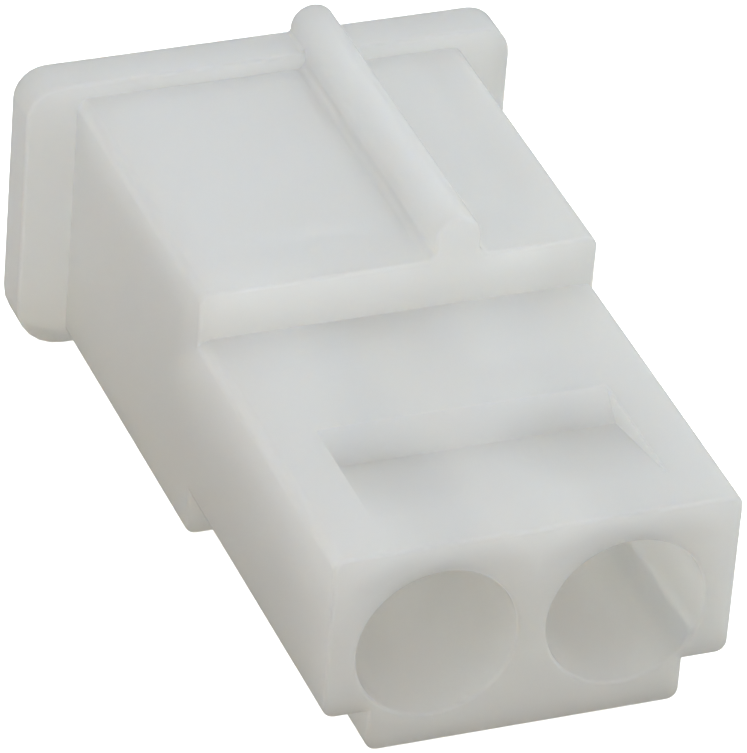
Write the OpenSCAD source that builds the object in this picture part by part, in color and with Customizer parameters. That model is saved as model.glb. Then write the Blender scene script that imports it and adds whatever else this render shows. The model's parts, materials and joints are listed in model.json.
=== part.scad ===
// Two-circuit wire to board connector housing, moulded in one piece.
// Wires enter the bores at y = 0. The mating part enters the hood at the other end.
// The origin is midway between the bores at the wire entry face, with +Y along the bores and +Z up.
// All sizes are in millimetres.

/* [Circuits] */
// Number of circuits side by side
circuits = 2; // [1:1:6]
// Distance from one circuit to the next
pitch = 6.35; // [6:0.05:8]

/* [Wire block] */
// Diameter of each wire entry bore
wire_bore_d = 5.35; // [4.8:0.05:5.6]
// Depth of each wire entry bore, up to its lead-in cone
wire_bore_l = 9; // [7.5:0.1:10]
// Wall between an outer bore and the side of the block
side_wall = 0.97; // [0.8:0.01:2]
// Wall above and below the bores
top_wall = 1.1; // [0.8:0.05:2]
// Length of the block in front of the hood
block_l = 12.5; // [11:0.1:16]
// Height of the notch along each lower edge of the block
notch_h = 1.55; // [1:0.05:2]
// Wall left between a bore and the inner corner of its notch
corner_wall = 0.4; // [0.3:0.05:0.7]
// Radius along the long edges of the block
block_edge_r = 0.4; // [0.2:0.05:0.6]

/* [Grip recess] */
// Distance from the wire entry face to the start of the ramp
recess_front = 1.8; // [1:0.1:3]
// Length of the ramp down to the deepest line
recess_ramp_l = 4.05; // [3:0.05:5]
// Length of the steep back of the recess
recess_back_l = 1; // [0.4:0.05:1.5]
// Distance from each end of the recess to the side of the block
recess_margin = 1.9; // [1.2:0.05:3]
// Wall left between the recess and the bores
recess_floor_wall = 0.3; // [0.25:0.05:0.7]

/* [Contact cavity] */
// Diameter of the throat that the contact locks behind
throat_d = 3.7; // [3.2:0.05:4.2]
// Length of the throat
throat_l = 1.8; // [1:0.1:2.4]
// Diameter of the contact bore on the mating side
contact_bore_d = 4.4; // [4.2:0.05:5]
// Slope of the lead-in cone from its axis, in degrees
lead_in_angle = 45; // [30:1:60]

/* [Hood] */
// Length of the hood
hood_l = 13.7; // [12:0.1:20]
// Height of the step from the block up to the hood
step_h = 1.75; // [0.8:0.05:3]
// Wall of the hood
hood_wall = 1.1; // [0.8:0.05:1.6]
// Depth of the mating pocket
pocket_depth = 10.8; // [8:0.1:11.5]
// Radius in the corners of the mating pocket
pocket_r = 0.5; // [0.2:0.05:1]
// Radius along the long edges of the hood
hood_edge_r = 0.4; // [0.2:0.05:0.6]

/* [Flange] */
// Thickness of the flange round the mating end
flange_t = 1.6; // [1:0.1:2.5]
// How far the flange stands out at each side
flange_side = 1.73; // [0.8:0.01:2.5]
// How far the flange stands out above the hood
flange_top = 0.56; // [0.2:0.02:1]
// How far the flange stands out below the hood
flange_bottom = 0.34; // [0.2:0.02:1]
// Radius of the upper corners of the flange
flange_top_r = 1.1; // [0.5:0.1:2]
// Radius of the lower corners of the flange
flange_bottom_r = 1.7; // [0.5:0.1:2]

/* [Polarizing rib] */
// Distance of the rib from the middle, to the right
rib_x = 1.92; // [0:0.01:2.4]
// Width of the rib
rib_w = 1.54; // [1.2:0.02:2]
// Height of the rib above the hood
rib_h = 1.5; // [1.1:0.05:2]
// Radius at the foot of the rib on the hood
rib_foot_r = 0.35; // [0.15:0.05:0.5]
// Radius at the foot of the rib on the flange
rib_flange_r = 0.2; // [0.1:0.05:0.3]
// Radius of the half-round keyway in the hood below the rib
keyway_r = 0.8; // [0.5:0.05:1.1]

/* [Hidden] */
$fn = 64;
// Overlap that keeps cuts and joins clear of shared faces
eps = 0.01;

bore_r = wire_bore_d / 2;
row_w = (circuits - 1) * pitch;
bore_x = [for (i = [0 : circuits - 1]) i * pitch - row_w / 2];

block_w = row_w + wire_bore_d + 2 * side_wall;
block_top = bore_r + top_wall;
block_bottom = -block_top;
notch_z = block_bottom + notch_h;
// Half width of the lower tier: the notch corner stays corner_wall away from the outer bore
tier_half_w = row_w / 2 + sqrt(max(0, pow(bore_r + corner_wall, 2) - pow(notch_z, 2)));

hood_top = block_top + step_h;
overall_l = block_l + hood_l;
flange_y = overall_l - flange_t;
flange_crest = hood_top + flange_top;
pocket_y = overall_l - pocket_depth;
pocket_half_w = block_w / 2 - hood_wall;
pocket_bottom = block_bottom + hood_wall;
pocket_top = hood_top - hood_wall;

recess_w = block_w - 2 * recess_margin;
recess_depth = top_wall - recess_floor_wall;
recess_valley = recess_front + recess_ramp_l;
recess_back = recess_valley + recess_back_l;

lead_in_l = (wire_bore_d - throat_d) / 2 / tan(lead_in_angle);
throat_y = wire_bore_l + lead_in_l;
contact_bore_y = throat_y + throat_l;

rib_r = rib_w / 2;
rib_crest = hood_top + rib_h;

// Extrudes a profile drawn in X and Z along Y
module along_y(from, to) {
    translate([0, to, 0])
        rotate([90, 0, 0])
            linear_extrude(height = to - from)
                children();
}

// Extrudes a profile drawn in Y and Z along X, centred
module along_x(width) {
    translate([-width / 2, 0, 0])
        rotate([90, 0, 90])
            linear_extrude(height = width)
                children();
}

// Rectangle centred on x = 0, with one radius for its lower corners and one for its upper corners
module round_rect(half_w, bottom, top, bottom_r, top_r) {
    translate([-half_w, bottom + bottom_r])
        square([2 * half_w, top - bottom - bottom_r - top_r]);
    translate([-half_w + bottom_r, bottom])
        square([2 * (half_w - bottom_r), bottom_r + eps]);
    translate([-half_w + top_r, top - top_r - eps])
        square([2 * (half_w - top_r), top_r + eps]);
    for (side = [-1, 1]) {
        translate([side * (half_w - bottom_r), bottom + bottom_r])
            circle(r = bottom_r);
        translate([side * (half_w - top_r), top - top_r])
            circle(r = top_r);
    }
}

// Block round the wire entry bores, with a narrower lower tier between its two notches
module wire_block() {
    along_y(0, block_l + eps) {
        round_rect(block_w / 2, notch_z, block_top, block_edge_r, block_edge_r);
        round_rect(tier_half_w, block_bottom, block_top - block_edge_r, block_edge_r, block_edge_r);
    }
}

// Hood that takes the mating part, flush with the block at its sides and below
module hood() {
    along_y(block_l, overall_l)
        round_rect(block_w / 2, block_bottom, hood_top, hood_edge_r, hood_edge_r);
}

// Flange round the mating end
module flange() {
    along_y(flange_y, overall_l)
        round_rect(block_w / 2 + flange_side, block_bottom - flange_bottom, flange_crest,
                   flange_bottom_r, flange_top_r);
}

// Concave foot on both sides of the rib, standing on a face at the given height
module rib_foot(height, r) {
    for (side = [-1, 1])
        translate([rib_x + side * rib_r, height])
            difference() {
                translate([side > 0 ? -eps : -r, -eps])
                    square([r + eps, r + eps]);
                translate([side * r, r])
                    circle(r = r);
            }
}

// Round-topped rib along the hood and over the flange
module rib() {
    along_y(block_l, overall_l) {
        translate([rib_x - rib_r, hood_top - eps])
            square([rib_w, rib_h - rib_r + eps]);
        translate([rib_x, rib_crest - rib_r])
            circle(r = rib_r);
        rib_foot(hood_top, rib_foot_r);
    }
    along_y(flange_y, overall_l)
        rib_foot(flange_crest, rib_flange_r);
}

// Shallow wedge in the top of the block, steep at its back
module grip_recess() {
    along_x(recess_w)
        polygon([
            [recess_front, block_top],
            [recess_valley, block_top - recess_depth],
            [recess_back, block_top],
            [recess_back, block_top + 1],
            [recess_front, block_top + 1]
        ]);
}

// Wire entry bore, lead-in cone, throat and contact bore of one circuit, turned as one cavity
module contact_cavity() {
    rotate([-90, 0, 0]) {
        translate([0, 0, -eps])
            cylinder(h = wire_bore_l + eps, r = bore_r);
        translate([0, 0, wire_bore_l])
            cylinder(h = lead_in_l, r1 = bore_r, r2 = throat_d / 2);
        translate([0, 0, throat_y - eps])
            cylinder(h = throat_l + 2 * eps, r = throat_d / 2);
        translate([0, 0, contact_bore_y])
            cylinder(h = pocket_y - contact_bore_y + eps, r = contact_bore_d / 2);
    }
}

// Pocket for the mating part, with its keyway
module mating_pocket() {
    along_y(pocket_y, overall_l + eps) {
        round_rect(pocket_half_w, pocket_bottom, pocket_top, pocket_r, pocket_r);
        translate([rib_x, pocket_top])
            circle(r = keyway_r);
    }
}

module housing() {
    color("whitesmoke")
        difference() {
            union() {
                wire_block();
                hood();
                flange();
                rib();
            }
            grip_recess();
            mating_pocket();
            for (x = bore_x)
                translate([x, 0, 0])
                    contact_cavity();
        }
}

housing();
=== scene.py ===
"""Two-circuit wire to board connector housing, moulded in natural nylon, in a plain white studio.

Everything is in metres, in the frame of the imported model: +Y along the bores from the wire
entry face to the mating end, +Z up towards the rib.
"""

import json
import math

import bmesh
import bpy
from mathutils import Matrix, Vector


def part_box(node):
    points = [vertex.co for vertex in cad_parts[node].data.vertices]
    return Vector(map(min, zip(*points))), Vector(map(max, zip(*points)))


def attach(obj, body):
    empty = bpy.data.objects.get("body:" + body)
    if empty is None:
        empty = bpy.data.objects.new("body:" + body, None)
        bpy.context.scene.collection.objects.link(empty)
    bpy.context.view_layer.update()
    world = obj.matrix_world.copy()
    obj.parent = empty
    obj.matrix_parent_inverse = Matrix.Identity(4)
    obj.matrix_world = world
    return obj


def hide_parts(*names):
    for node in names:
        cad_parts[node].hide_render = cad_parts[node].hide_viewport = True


MM = 0.001

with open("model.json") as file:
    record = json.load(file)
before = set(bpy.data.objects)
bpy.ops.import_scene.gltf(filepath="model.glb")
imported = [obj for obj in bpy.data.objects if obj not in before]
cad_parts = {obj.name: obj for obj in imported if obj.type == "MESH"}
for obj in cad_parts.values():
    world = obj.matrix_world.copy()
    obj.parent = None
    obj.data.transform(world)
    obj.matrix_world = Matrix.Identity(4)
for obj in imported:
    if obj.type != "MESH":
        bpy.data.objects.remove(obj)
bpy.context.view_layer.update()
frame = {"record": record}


# ---------------------------------------------------------------- sizes of the moulding

MOUNTS = {m["name"]: m for m in frame["record"]["mounts"]}
HOUSING_LOW, HOUSING_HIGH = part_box("housing")

# Wire block, with a narrower tier below its two notches
BORE_RADIUS = MOUNTS["left_wire_bore"]["dims"]["r_mm"] * MM
BORE_DEPTH = MOUNTS["left_wire_bore"]["dims"]["length_mm"] * MM
BORE_PLACES = [MOUNTS[name]["pos_m"][0] for name in ("left_wire_bore", "right_wire_bore")]
BLOCK_LENGTH = 12.5 * MM
BLOCK_WALL_TOP = 1.1 * MM
BLOCK_WALL_SIDE = 0.97 * MM
BLOCK_HALF_WIDTH = max(BORE_PLACES) + BORE_RADIUS + BLOCK_WALL_SIDE
BLOCK_TOP = BORE_RADIUS + BLOCK_WALL_TOP
BLOCK_BOTTOM = -BLOCK_TOP
NOTCH_HEIGHT = 1.55 * MM
NOTCH_TOP = BLOCK_BOTTOM + NOTCH_HEIGHT
NOTCH_WALL = 0.4 * MM
TIER_HALF_WIDTH = max(BORE_PLACES) + math.sqrt((BORE_RADIUS + NOTCH_WALL) ** 2 - NOTCH_TOP ** 2)

# Hood, flange and rib
LENGTH = HOUSING_HIGH.y
HOOD_STEP = 1.75 * MM
HOOD_TOP = BLOCK_TOP + HOOD_STEP
FLANGE_THICKNESS = 1.6 * MM
FLANGE_BACK = LENGTH - FLANGE_THICKNESS
FLANGE_RISE = 0.56 * MM
FLANGE_TOP = HOOD_TOP + FLANGE_RISE
FLANGE_TOP_RADIUS = 1.1 * MM
FLANGE_BOTTOM_RADIUS = 1.7 * MM
RIB_X = 1.92 * MM
RIB_RADIUS = 0.77 * MM
RIB_FOOT = 0.35 * MM
RIB_FOOT_ON_FLANGE = 0.2 * MM

# Cavities
THROAT_RADIUS = 1.85 * MM
THROAT_LENGTH = 1.8 * MM
CONTACT_BORE_RADIUS = MOUNTS["left_contact_bore"]["dims"]["r_mm"] * MM
POCKET_DEPTH = 10.8 * MM
POCKET_FLOOR = LENGTH - POCKET_DEPTH
POCKET_WALL = 1.1 * MM
POCKET_RADIUS = 0.5 * MM
KEYWAY_RADIUS = 0.8 * MM

# Grip recess
RECESS_FRONT = 1.8 * MM
RECESS_VALLEY = 5.85 * MM
RECESS_BACK = 6.85 * MM
RECESS_MARGIN = 1.9 * MM
RECESS_HALF_WIDTH = BLOCK_HALF_WIDTH - RECESS_MARGIN
RECESS_DEPTH = 0.8 * MM

# Roundings of the long edges and of the rims
LONG_EDGE_RADIUS = 0.4 * MM
RIM_RADIUS = 0.13 * MM

# How finely the round forms are stepped
CORNER_STEPS = 6
RIM_STEPS = 4
BORE_STEPS = 96

# How far a part runs on into its neighbour, and how far a face is kept off another one's plane
OVERLAP = 0.4 * MM
SINK = 0.004 * MM
RIB_DROP_ON_FLANGE = 10 * SINK
LEAST_STEP = 0.01 * MM

# How edges are told apart: in one plane, parallel to the bores, and sharp enough for a rim
IN_PLANE = 0.001 * MM
PARALLEL_COSINE = 0.999
RIM_ANGLE = 45

# Distance at which points are merged, and angle in degrees below which edges are melted
PLAIN_PART = (0.01 * MM, 0.1)
PART_WITH_FEET = (0.003 * MM, 1)
WHOLE_HOUSING = (0.0005 * MM, 0.2)

# Edges flatter than this, in degrees, are shaded smooth
SMOOTH_ANGLE = 32


# ---------------------------------------------------------------- small helpers

def linear(hex_colour):
    """An sRGB hex colour as linear RGBA."""
    parts = [int(hex_colour[i:i + 2], 16) / 255 for i in (1, 3, 5)]
    toned = [c / 12.92 if c <= 0.04045 else ((c + 0.055) / 1.055) ** 2.4 for c in parts]
    return (*toned, 1.0)


def live(sockets, key):
    """A socket by its number, or the one of this name that the node's present settings use."""
    if isinstance(key, int):
        return sockets[key]
    return next(s for s in sockets if s.name == key and s.enabled)


def add_node(tree, kind, settings=None, links=None):
    """Adds a node, sets its properties, then its sockets, and links other sockets into it."""
    node = tree.nodes.new(kind)
    values = settings or {}
    properties = [k for k in values if isinstance(k, str) and k not in node.inputs]
    for key in properties:
        setattr(node, key, values[key])
    for key in values:
        if key not in properties:
            live(node.inputs, key).default_value = values[key]
    for key, source in (links or {}).items():
        tree.links.new(source, live(node.inputs, key))
    return node


# ---------------------------------------------------------------- modelling by hand

def only_select(obj):
    """Deselects everything, then selects this one object and makes it active."""
    bpy.ops.object.select_all(action="DESELECT")
    obj.select_set(True)
    bpy.context.view_layer.objects.active = obj


def select_in(obj, kind, wanted):
    """Opens an object in edit mode with only the wanted edges or faces selected."""
    only_select(obj)
    bpy.ops.object.mode_set(mode="EDIT")
    bpy.ops.mesh.select_mode(type=kind)
    bpy.ops.mesh.select_all(action="DESELECT")
    mesh = bmesh.from_edit_mesh(obj.data)
    for part in mesh.edges if kind == "EDGE" else mesh.faces:
        part.select_set(wanted(part))
    mesh.select_flush_mode()
    bmesh.update_edit_mesh(obj.data)


def apply_modifier(obj, kind, **settings):
    """Adds a modifier, sets it and applies it."""
    only_select(obj)
    modifier = obj.modifiers.new(kind.title(), kind)
    for name, value in settings.items():
        setattr(modifier, name, value)
    bpy.ops.object.modifier_apply(modifier=modifier.name)


def middle(part):
    """The middle of an edge or a face."""
    return sum((v.co for v in part.verts), Vector()) / len(part.verts)


def lies_at(part, y):
    """True for an edge or a face that lies wholly in the plane at this y."""
    return all(abs(v.co.y - y) < IN_PLANE for v in part.verts)


def runs_along_bores(edge):
    """True for an edge parallel to the bores."""
    return abs((edge.verts[1].co - edge.verts[0].co).normalized().y) > PARALLEL_COSINE


def round_edges(obj, radius, steps, wanted):
    """Rounds the wanted edges of a solid."""
    select_in(obj, "EDGE", wanted)
    bpy.ops.mesh.bevel(offset=radius, offset_type="OFFSET", segments=steps, profile=0.5,
                       affect="EDGES", clamp_overlap=False)
    bpy.ops.object.mode_set(mode="OBJECT")


def block(name, low, high):
    """A box between two corners, with its place in its mesh."""
    bpy.ops.object.select_all(action="DESELECT")
    bpy.ops.mesh.primitive_cube_add(size=1, location=(low + high) / 2)
    obj = bpy.context.active_object
    obj.name = name
    obj.scale = high - low
    bpy.ops.object.transform_apply(location=True, rotation=False, scale=True)
    return obj


def cylinder(name, radius, length, place, steps):
    """A cylinder along the bores, with its place in its mesh."""
    bpy.ops.object.select_all(action="DESELECT")
    bpy.ops.mesh.primitive_cylinder_add(vertices=steps, radius=radius, depth=length,
                                        location=place, rotation=(math.radians(90), 0, 0))
    obj = bpy.context.active_object
    obj.name = name
    bpy.ops.object.transform_apply(location=True, rotation=True, scale=True)
    return obj


def slab(name, half_width, y_range, z_range, radii, rims):
    """A block along the bores with rounded long edges (bottom, top) and rounded rims (at y)."""
    low = Vector((-half_width, y_range[0], z_range[0]))
    high = Vector((half_width, y_range[1], z_range[1]))
    obj = block(name, low, high)
    for radius, z in zip(radii, z_range):
        if radius:
            round_edges(obj, radius, CORNER_STEPS, lambda edge: runs_along_bores(edge)
                        and abs(middle(edge).z - z) < IN_PLANE)
    for y in rims:
        round_edges(obj, RIM_RADIUS, RIM_STEPS, lambda edge: lies_at(edge, y))
    return obj


def push_face(obj, y, along, sizes=(1, 1), centre=None):
    """Extrudes the end face at y along the bores and scales it in x and z."""
    select_in(obj, "FACE", lambda face: lies_at(face, y))
    bpy.ops.mesh.extrude_region_move(TRANSFORM_OT_translate={"value": (0, along, 0)})
    bpy.ops.transform.resize(value=(sizes[0], 1, sizes[1]),
                             center_override=centre or (0, y + along, 0))
    bpy.ops.object.mode_set(mode="OBJECT")


def flare(obj, y, outward, centre, half_sizes):
    """Opens a cutter's end face at y like a trumpet, which leaves a rounded rim round its hole."""
    last = 0.0
    for step in range(1, RIM_STEPS + 1):
        angle = math.radians(90 * step / RIM_STEPS)
        rise = RIM_RADIUS * math.sin(angle)
        growth = RIM_RADIUS * (1 - math.cos(angle))
        before = RIM_RADIUS * (1 - math.cos(math.radians(90 * (step - 1) / RIM_STEPS)))
        sizes = [(half + growth) / (half + before) for half in half_sizes]
        push_face(obj, y + outward * last, outward * (rise - last), sizes,
                  (centre[0], y + outward * rise, centre[1]))
        last = rise
    push_face(obj, y + outward * last, outward * OVERLAP)


def clean(obj, distance, angle):
    """Merges doubled points and melts the edges inside flat faces."""
    only_select(obj)
    bpy.ops.object.mode_set(mode="EDIT")
    bpy.ops.mesh.select_all(action="SELECT")
    bpy.ops.mesh.remove_doubles(threshold=distance)
    bpy.ops.mesh.dissolve_limited(angle_limit=math.radians(angle))
    bpy.ops.object.mode_set(mode="OBJECT")


def join_solid(body, part, operation):
    """Unites a part with the body, or cuts it out."""
    apply_modifier(body, "BOOLEAN", object=part, operation=operation, solver="EXACT")
    bpy.data.objects.remove(part)


# ---------------------------------------------------------------- the housing's forms

def wire_block():
    """Block round the bores: a wide upper tier and a narrower lower one between the notches."""
    body = slab("nylon_moulding", BLOCK_HALF_WIDTH, (0, BLOCK_LENGTH + OVERLAP),
                (NOTCH_TOP, BLOCK_TOP), (LONG_EDGE_RADIUS, LONG_EDGE_RADIUS), (0,))
    tier = slab("lower_tier", TIER_HALF_WIDTH, (0, BLOCK_LENGTH + OVERLAP),
                (BLOCK_BOTTOM, 0), (LONG_EDGE_RADIUS, 0), (0,))
    join_solid(body, tier, "UNION")
    return body


def hood():
    """Raised box that takes the mating part, with its front rim rounded."""
    return slab("hood", BLOCK_HALF_WIDTH, (BLOCK_LENGTH, LENGTH - OVERLAP),
                (BLOCK_BOTTOM, HOOD_TOP), (LONG_EDGE_RADIUS, LONG_EDGE_RADIUS), (BLOCK_LENGTH,))


def flange():
    """Plate round the mating end, with round corners and rounded rims."""
    return slab("flange", HOUSING_HIGH.x, (FLANGE_BACK, LENGTH), (HOUSING_LOW.z, FLANGE_TOP),
                (FLANGE_BOTTOM_RADIUS, FLANGE_TOP_RADIUS), (FLANGE_BACK, LENGTH))


def rib_with_feet(name, radius, crest, base, foot_radius, y_range, rims):
    """Round-topped strip that stands on a surface at the height base, with eased feet."""
    start, end = y_range
    half = radius + foot_radius
    strip = block(name, Vector((RIB_X - half, start, base - OVERLAP)),
                  Vector((RIB_X + half, end, base + foot_radius)))
    for side in (-1, 1):
        place = (RIB_X + side * (half - SINK), (start + end) / 2, base + foot_radius - SINK)
        gouge = cylinder("gouge", foot_radius, end - start + 2 * OVERLAP, place, 4 * CORNER_STEPS)
        join_solid(strip, gouge, "DIFFERENCE")
    upright = block("upright", Vector((RIB_X - radius, start, base - OVERLAP / 2)),
                    Vector((RIB_X + radius, end, crest)))
    round_edges(upright, radius, 2 * CORNER_STEPS,
                lambda edge: runs_along_bores(edge) and middle(edge).z > base + foot_radius)
    clean(upright, *PLAIN_PART)
    join_solid(strip, upright, "UNION")
    clean(strip, *PART_WITH_FEET)
    for y in rims:
        round_edges(strip, RIM_RADIUS, RIM_STEPS, lambda edge: lies_at(edge, y)
                    and edge.calc_face_angle() > math.radians(RIM_ANGLE))
    return strip


def polarizing_rib():
    """Rib along the hood and over the flange."""
    ends = (BLOCK_LENGTH + SINK, LENGTH - SINK)
    rib = rib_with_feet("rib", RIB_RADIUS, HOUSING_HIGH.z, HOOD_TOP, RIB_FOOT, ends, ends)
    on_flange = rib_with_feet("rib_on_flange", RIB_RADIUS - SINK,
                              HOUSING_HIGH.z - RIB_DROP_ON_FLANGE, FLANGE_TOP, RIB_FOOT_ON_FLANGE,
                              (FLANGE_BACK + RIM_RADIUS, LENGTH - RIM_RADIUS), ())
    return rib, on_flange


def contact_cavity(x):
    """Cutter for one circuit: bore with a rounded mouth, lead-in cone, throat and contact bore."""
    start = RIM_RADIUS - SINK
    cutter = cylinder("contact_cavity", BORE_RADIUS, BORE_DEPTH - start,
                      (x, (BORE_DEPTH + start) / 2, 0), BORE_STEPS)
    cone = BORE_RADIUS - THROAT_RADIUS
    y = BORE_DEPTH
    for along, radius, before in ((cone, THROAT_RADIUS, BORE_RADIUS),
                                  (THROAT_LENGTH, THROAT_RADIUS, THROAT_RADIUS),
                                  (LEAST_STEP, CONTACT_BORE_RADIUS, THROAT_RADIUS)):
        push_face(cutter, y, along, (radius / before,) * 2, (x, y + along, 0))
        y += along
    push_face(cutter, y, POCKET_FLOOR + OVERLAP - y)
    flare(cutter, start, -1, (x, 0), (BORE_RADIUS, BORE_RADIUS))
    return cutter


def mating_pocket():
    """Cutter for the pocket that takes the mating part."""
    half = BLOCK_HALF_WIDTH - POCKET_WALL
    low = Vector((-half, POCKET_FLOOR, BLOCK_BOTTOM + POCKET_WALL))
    high = Vector((half, LENGTH - RIM_RADIUS + SINK, HOOD_TOP - POCKET_WALL))
    cutter = block("pocket", low, high)
    round_edges(cutter, POCKET_RADIUS, CORNER_STEPS, runs_along_bores)
    flare(cutter, high.y, 1, (0, (low.z + high.z) / 2), (half, (high.z - low.z) / 2))
    return cutter


def keyway():
    """Cutter for the half-round keyway in the hood, below the rib."""
    depth = LENGTH - RIM_RADIUS + SINK - POCKET_FLOOR
    top = HOOD_TOP - POCKET_WALL
    cutter = cylinder("keyway", KEYWAY_RADIUS, depth, (RIB_X, POCKET_FLOOR + depth / 2, top),
                      BORE_STEPS // 2)
    flare(cutter, POCKET_FLOOR + depth, 1, (RIB_X, top), (KEYWAY_RADIUS, KEYWAY_RADIUS))
    return cutter


def grip_recess():
    """Cutter for the shallow wedge in the top of the block: a long ramp and a steep back."""
    rise = OVERLAP / RECESS_DEPTH
    front = RECESS_FRONT - rise * (RECESS_VALLEY - RECESS_FRONT)
    back = RECESS_BACK + rise * (RECESS_BACK - RECESS_VALLEY)
    low = Vector((-RECESS_HALF_WIDTH, front, BLOCK_TOP - RECESS_DEPTH))
    high = Vector((RECESS_HALF_WIDTH, RECESS_VALLEY, BLOCK_TOP + OVERLAP))
    cutter = block("recess", low, high)
    push_face(cutter, RECESS_VALLEY, back - RECESS_VALLEY)
    for y in (front, back):
        select_in(cutter, "EDGE", lambda edge: lies_at(edge, y) and middle(edge).z < BLOCK_TOP
                  and abs(middle(edge).x) < IN_PLANE)
        bpy.ops.transform.translate(value=(0, 0, RECESS_DEPTH + OVERLAP))
        bpy.ops.object.mode_set(mode="OBJECT")
    clean(cutter, *PLAIN_PART)
    return cutter


def moulding():
    """The whole housing: one solid, finished with smooth shading over its roundings."""
    body = wire_block()
    for part in (hood(), flange(), *polarizing_rib()):
        join_solid(body, part, "UNION")
    for cutter in (mating_pocket(), keyway(), *map(contact_cavity, BORE_PLACES), grip_recess()):
        join_solid(body, cutter, "DIFFERENCE")
    clean(body, *WHOLE_HOUSING)
    bpy.ops.object.shade_smooth_by_angle(angle=math.radians(SMOOTH_ANGLE))
    apply_modifier(body, "WEIGHTED_NORMAL", keep_sharp=True)
    body.data.materials.clear()
    body.data.materials.append(natural_nylon())
    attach(body, "root")
    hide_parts("housing")
    return body


# ---------------------------------------------------------------- the finish

# Milk and its faint clouds
MILK = "#FBFBF9"
CLOUD = "#F7F7F5"
CLOUD_SIZE = 5.0 * MM

# Painted shade over the thin walls above the bores, greyer where light runs on into a bore: it fades
# in towards a bore, the front and the top
THIN_WALL_PAINTED_SHADE = "#DDDDDB"
THIN_WALL_SHADE_SHARE = 0.6
THIN_WALL_SHADE_REACH = (4.6 * MM, 3.2 * MM)
THIN_WALL_SHADE_ALONG = (10.5 * MM, 3.0 * MM)
THIN_WALL_SHADE_HEIGHT = (1.5 * MM, 2.9 * MM)

# Painted shade on the low parts, warmer and darker where the light is dimmer low down: it fades in
# downwards
LOW_PAINTED_SHADE = "#EADFC9"
LOW_SHADE_SHARE = 0.3
LOW_SHADE_HEIGHT = (0.5 * MM, -4.0 * MM)

# Satin skin from a fine-grained tool: a wide soft sheen and no mirror image
NYLON_IOR = 1.53
NYLON_ROUGHNESS = 0.5

# Half clear: light passes through thin walls, and each shows a little of what is behind it
NYLON_CLARITY = 0.6

# How far light wanders in the milk, which fills shadows and blurs edges; red goes furthest, so
# deep places look warm
WANDER = 15.0 * MM
WANDER_BY_COLOUR = (1.0, 0.88, 0.72)


def natural_nylon():
    """Natural nylon 6/6, moulded: milky and satin, the light that wanders in it softens edges, and
    painted shade greys its thin walls and warms its low parts.
    """
    material = bpy.data.materials.new("natural_nylon_moulded")
    material.use_nodes = True
    tree = material.node_tree
    tree.nodes.clear()
    place = add_node(tree, "ShaderNodeTexCoord").outputs["Object"]
    parts = add_node(tree, "ShaderNodeSeparateXYZ", None, {"Vector": place}).outputs

    # Faint clouds in the milkiness, from the way the melt filled the tool
    cloud = add_node(tree, "ShaderNodeTexNoise", {"Scale": 1 / CLOUD_SIZE, "Detail": 3.0},
                     {"Vector": place})
    milk = add_node(tree, "ShaderNodeMix",
                    {"data_type": "RGBA", "A": linear(MILK), "B": linear(CLOUD)},
                    {"Factor": cloud.outputs["Fac"]})
    colour = live(milk.outputs, "Result")

    # Distance from the axis of the nearer bore, which tells the thin walls, where shade is painted,
    # from the thick ones
    sideways = add_node(tree, "ShaderNodeMath", {"operation": "ABSOLUTE"}, {0: parts["X"]})
    off_axis = add_node(tree, "ShaderNodeMath", {"operation": "SUBTRACT", 1: max(BORE_PLACES)},
                        {0: sideways.outputs[0]})
    spoke = add_node(tree, "ShaderNodeCombineXYZ", None, {"X": off_axis.outputs[0], "Z": parts["Z"]})
    reach = live(add_node(tree, "ShaderNodeVectorMath", {"operation": "LENGTH"},
                          {0: spoke.outputs[0]}).outputs, "Value")

    # Painted shade: thin walls are painted greyer, for the light that runs on into the bore, and low
    # parts warmer and darker, for the dimmer light low down
    painted_shades = (
        (THIN_WALL_PAINTED_SHADE, THIN_WALL_SHADE_SHARE, ((reach, THIN_WALL_SHADE_REACH), (parts["Y"], THIN_WALL_SHADE_ALONG),
                                           (parts["Z"], THIN_WALL_SHADE_HEIGHT))),
        (LOW_PAINTED_SHADE, LOW_SHADE_SHARE, ((parts["Z"], LOW_SHADE_HEIGHT),)),
    )
    for shade_colour, shade_share, fades in painted_shades:
        shade_amount = None
        for value, (start, end) in fades:
            fade = add_node(tree, "ShaderNodeMapRange",
                            {"From Min": start, "From Max": end,
                             "interpolation_type": "SMOOTHSTEP"}, {"Value": value}).outputs["Result"]
            if shade_amount:
                fade = add_node(tree, "ShaderNodeMath", {"operation": "MULTIPLY"},
                                {0: shade_amount, 1: fade}).outputs[0]
            shade_amount = fade
        shade_amount = add_node(tree, "ShaderNodeMath", {"operation": "MULTIPLY", 1: shade_share},
                          {0: shade_amount}).outputs[0]
        # Paints this shade into the base colour
        painted_shade = add_node(tree, "ShaderNodeMix", {"data_type": "RGBA", "B": linear(shade_colour)},
                        {"A": colour, "Factor": shade_amount})
        colour = live(painted_shade.outputs, "Result")

    nylon = add_node(
        tree, "ShaderNodeBsdfPrincipled",
        {"Roughness": NYLON_ROUGHNESS, "IOR": NYLON_IOR, "Transmission Weight": NYLON_CLARITY,
         "Subsurface Weight": 1.0, "Subsurface Radius": WANDER_BY_COLOUR,
         "Subsurface Scale": WANDER},
        {"Base Color": colour})
    nylon.subsurface_method = "RANDOM_WALK"
    add_node(tree, "ShaderNodeOutputMaterial", None, {"Surface": nylon.outputs["BSDF"]})
    return material


# ---------------------------------------------------------------- the studio

# Matt coated card, which glows so that it stays white right up to the part
FLOOR_WIDTH = 4.0
FLOOR_COLOUR = "#F2F2F0"
FLOOR_ROUGHNESS = 0.9
FLOOR_GLOW = 0.75


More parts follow.
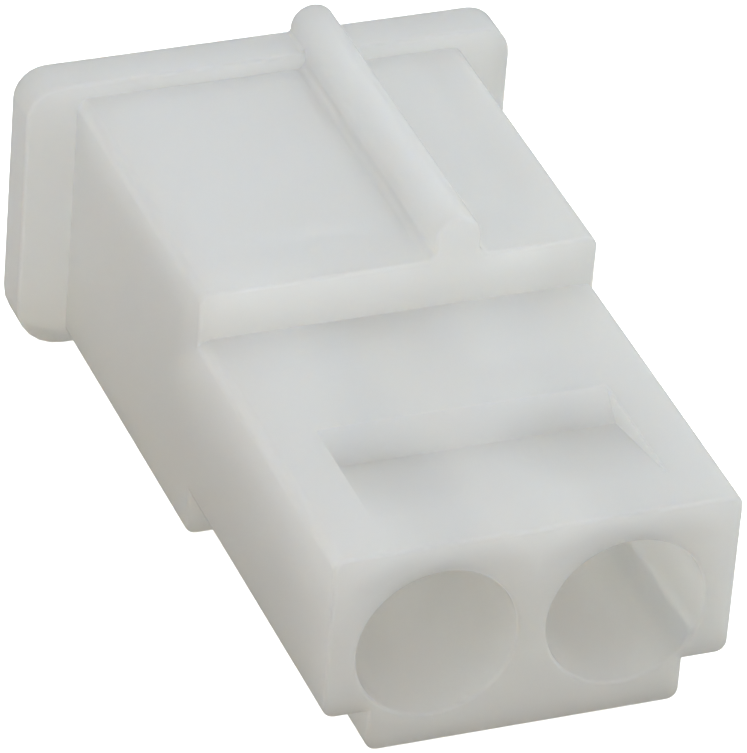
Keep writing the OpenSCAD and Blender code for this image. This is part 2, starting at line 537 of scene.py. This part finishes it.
def studio_floor():
    """A wide pale card under the housing, evenly lit: it shows white and throws no light upwards."""
    bpy.ops.object.select_all(action="DESELECT")
    bpy.ops.mesh.primitive_plane_add(size=FLOOR_WIDTH, location=(0, 0, HOUSING_LOW.z))
    floor = bpy.context.active_object
    floor.name = "studio_floor"
    material = bpy.data.materials.new("white_card")
    material.use_nodes = True
    card = material.node_tree.nodes["Principled BSDF"]
    card.inputs["Base Color"].default_value = linear(FLOOR_COLOUR)
    card.inputs["Roughness"].default_value = FLOOR_ROUGHNESS
    card.inputs["Emission Color"].default_value = linear("#FFFFFF")
    card.inputs["Emission Strength"].default_value = FLOOR_GLOW
    floor.data.materials.append(material)
    floor.visible_diffuse = False
    floor.visible_glossy = False
    floor.visible_transmission = False
    floor.visible_shadow = False


# Light from each side of a white tent: the axis it comes along, its sense, colour and strength
TENT_BRIGHTNESS = 1.05
TENT = (
    ("right", "X", 1, "#FAFFFD", 1.0),
    ("left", "X", -1, "#FFF3E7", 0.74),
    ("behind", "Y", 1, "#FDFFFB", 0.52),
    ("front", "Y", -1, "#FFFBF1", 0.88),
    ("overhead", "Z", 1, "#F8FCFF", 2.08),
    ("table", "Z", -1, "#FFE8D8", 0.09),
)


def studio_light():
    """A white light tent: soft light from all round, strongest overhead and faint from the table."""
    world = bpy.data.worlds.new("light_tent")
    bpy.context.scene.world = world
    world.use_nodes = True
    tree = world.node_tree
    tree.nodes.clear()
    way = add_node(tree, "ShaderNodeTexCoord").outputs["Generated"]
    parts = add_node(tree, "ShaderNodeSeparateXYZ", None, {"Vector": way}).outputs
    total = None
    for name, axis, sense, colour, strength in TENT:
        towards = add_node(tree, "ShaderNodeMath",
                           {"operation": "MULTIPLY", "use_clamp": True, "label": name, 1: sense},
                           {0: parts[axis]}).outputs[0]
        # The square of the cosine: full from its own side, and gone a quarter turn away
        wide = add_node(tree, "ShaderNodeMath", {"operation": "POWER", 1: 2.0},
                        {0: towards}).outputs[0]
        light = Vector(linear(colour)[:3]) * strength
        panel = add_node(tree, "ShaderNodeVectorMath", {"operation": "SCALE", 0: light},
                         {"Scale": wide}).outputs[0]
        if total:
            panel = add_node(tree, "ShaderNodeVectorMath", {"operation": "ADD"},
                             {0: total, 1: panel}).outputs[0]
        total = panel
    tent = add_node(tree, "ShaderNodeBackground", {"Strength": TENT_BRIGHTNESS},
                    {"Color": total})
    add_node(tree, "ShaderNodeOutputWorld", None, {"Surface": tent.outputs["Background"]})


# Camera: its turn in degrees, its distance and lens, and the point it looks at, measured from the
# middle of the part
VIEW_AZIMUTH = -23.391
VIEW_ELEVATION = 33.776
VIEW_ROLL = 4.768
VIEW_DISTANCE = 239.16 * MM
VIEW_LENS = 353.66
VIEW_AIM = Vector((-0.457, -0.114, -0.427)) * MM


def studio_camera():
    """A long lens looking down on the wire entry end from the left."""
    data = bpy.data.cameras.new("studio_camera")
    data.sensor_width = 36.0
    data.lens = VIEW_LENS
    data.clip_start = 0.01
    data.clip_end = 10.0
    camera = bpy.data.objects.new("studio_camera", data)
    bpy.context.scene.collection.objects.link(camera)
    turn = (Matrix.Rotation(math.radians(VIEW_AZIMUTH), 4, "Z")
            @ Matrix.Rotation(math.radians(90 - VIEW_ELEVATION), 4, "X")
            @ Matrix.Rotation(math.radians(VIEW_ROLL), 4, "Z"))
    aim = (HOUSING_LOW + HOUSING_HIGH) / 2 + VIEW_AIM
    camera.rotation_euler = turn.to_euler()
    camera.location = aim + turn @ Vector((0, 0, VIEW_DISTANCE))
    bpy.context.scene.camera = camera


def light_paths():
    """Lets light bounce often enough to fill the deep white bores, and keeps colours as they are."""
    scene = bpy.context.scene
    scene.view_settings.view_transform = "Standard"
    scene.cycles.diffuse_bounces = 16
    scene.cycles.transmission_bounces = 16
    scene.cycles.max_bounces = 24


moulding()
studio_floor()
studio_light()
studio_camera()
light_paths()
